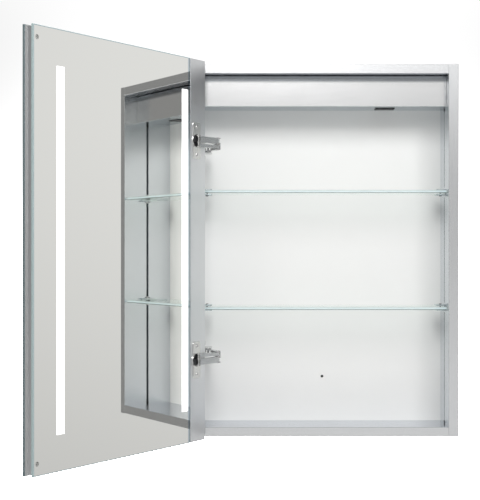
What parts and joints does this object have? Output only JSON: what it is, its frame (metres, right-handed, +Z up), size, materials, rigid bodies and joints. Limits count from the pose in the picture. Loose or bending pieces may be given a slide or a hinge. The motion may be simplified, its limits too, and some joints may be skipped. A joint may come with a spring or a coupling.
{
  "type": "medicine cabinet with mirror",
  "caption": "Wall-mounted aluminium medicine cabinet with a left-hung door, mirrored on both faces with frosted light stripes, wide-angle hinges, glass shelves and a light box.",
  "frame": {"origin": "centre of the back face, on the wall", "axes": "+X right seen from the front, +Y into the wall, +Z up; the front faces -Y"},
  "size_m": [0.7588, 0.5948, 0.711],
  "materials": {
    "body_aluminium": "satin anodised",
    "door_aluminium": "satin brushed",
    "back_white": "matt white",
    "box_aluminium": "satin anodised",
    "mirror": "silvered glass with frosted light stripes",
    "light_acrylic": "milky acrylic",
    "shelf_glass": "clear, polished edges",
    "clip_metal": "satin",
    "soft_clear": "translucent silicone",
    "hinge_zinc": "nickel plated zinc",
    "hinge_steel": "nickel plated steel",
    "black_plastic": "fine texture",
    "screw_steel": "zinc plated",
    "cap_plastic": "grey moulded",
    "black_screw": "black oxide",
    "tape_black": "foam tape",
    "inner_aluminium": "mill finish",
    "board_white": "white circuit board",
    "driver_plastic": "satin",
    "brass": "plain"
  },
  "bodies": {
    "cabinet": {"end_plugs": "cap_plastic", "slot_stops": "black_plastic", "side_panel_left": "body_aluminium", "side_panel_right": "body_aluminium", "top_panel": "body_aluminium", "bottom_panel": "body_aluminium", "back_panel": "back_white", "corner_screws": "screw_steel", "back_screws": "screw_steel", "light_box_cover": "box_aluminium", "light_box_screws": "screw_steel", "led_driver": "driver_plastic", "driver_screws": "screw_steel", "terminal_block": "driver_plastic", "cable_grommet": "black_plastic", "power_outlet": "black_plastic", "outlet_contacts": "brass", "hinge_arm_upper": "hinge_steel", "hinge_arm_lower": "hinge_steel", "hinge_plate_upper": "hinge_zinc", "hinge_plate_lower": "hinge_zinc", "arm_pins": "hinge_steel", "plate_screws": "screw_steel"},
    "hinge_links": {"hinge_link_upper": "hinge_steel", "hinge_link_lower": "hinge_steel", "elbow_pins": "hinge_steel"},
    "hinge_beams": {"hinge_beam_upper": "hinge_steel", "hinge_beam_lower": "hinge_steel", "hinge_guides": "hinge_steel"},
    "door": {"stile_caps": "cap_plastic", "front_mirror": "mirror", "light_sheet": "light_acrylic", "hinge_stile": "door_aluminium", "free_stile": "door_aluminium", "door_rail_top": "door_aluminium", "door_rail_bottom": "door_aluminium", "corner_keys": "inner_aluminium", "rear_mirror": "mirror", "mirror_tape": "tape_black", "led_carriers": "inner_aluminium", "led_boards": "board_white", "door_bumpers": "soft_clear", "hinge_cup_upper": "hinge_zinc", "hinge_cup_lower": "hinge_zinc", "hinge_insert_upper": "black_plastic", "hinge_insert_lower": "black_plastic", "cup_pins": "hinge_steel", "cup_screws": "screw_steel"},
    "shelf_upper": {"shelf_glass_upper": "shelf_glass", "shelf_clip_upper_left": "clip_metal", "shelf_clip_upper_right": "clip_metal", "shelf_pads_upper": "soft_clear", "shelf_nuts_upper": "clip_metal", "shelf_screws_upper": "black_screw"},
    "shelf_lower": {"shelf_glass_lower": "shelf_glass", "shelf_clip_lower_left": "clip_metal", "shelf_clip_lower_right": "clip_metal", "shelf_pads_lower": "soft_clear", "shelf_nuts_lower": "clip_metal", "shelf_screws_lower": "black_screw"}
  },
  "joints": [
    {"name": "link_pivot", "type": "hinge", "parent": "cabinet", "child": "hinge_links", "pos_m": [-0.224, -0.094, 0], "axis": [0, 0, 1], "range_deg": [0, 96.06]},
    {"name": "beam_pivot", "type": "hinge", "parent": "hinge_links", "child": "hinge_beams", "pos_m": [-0.205, -0.139, 0], "axis": [0, 0, 1], "range_deg": [-105.06, 0]},
    {"name": "door_pivot", "type": "hinge", "parent": "hinge_beams", "child": "door", "pos_m": [-0.23973, -0.18665, 0], "axis": [0, 0, 1], "range_deg": [0, 129.5]},
    {"name": "shelf_upper_slide", "type": "slide", "parent": "cabinet", "child": "shelf_upper", "axis": [0, 0, 1], "range_m": [-0.08, 0.05]},
    {"name": "shelf_lower_slide", "type": "slide", "parent": "cabinet", "child": "shelf_lower", "axis": [0, 0, 1], "range_m": [-0.05, 0.08]}
  ],
  "couplings": [
    {"joint": "link_pivot", "follows": "door_pivot", "ratio": 0.74165},
    {"joint": "beam_pivot", "follows": "door_pivot", "ratio": -0.81113}
  ]
}
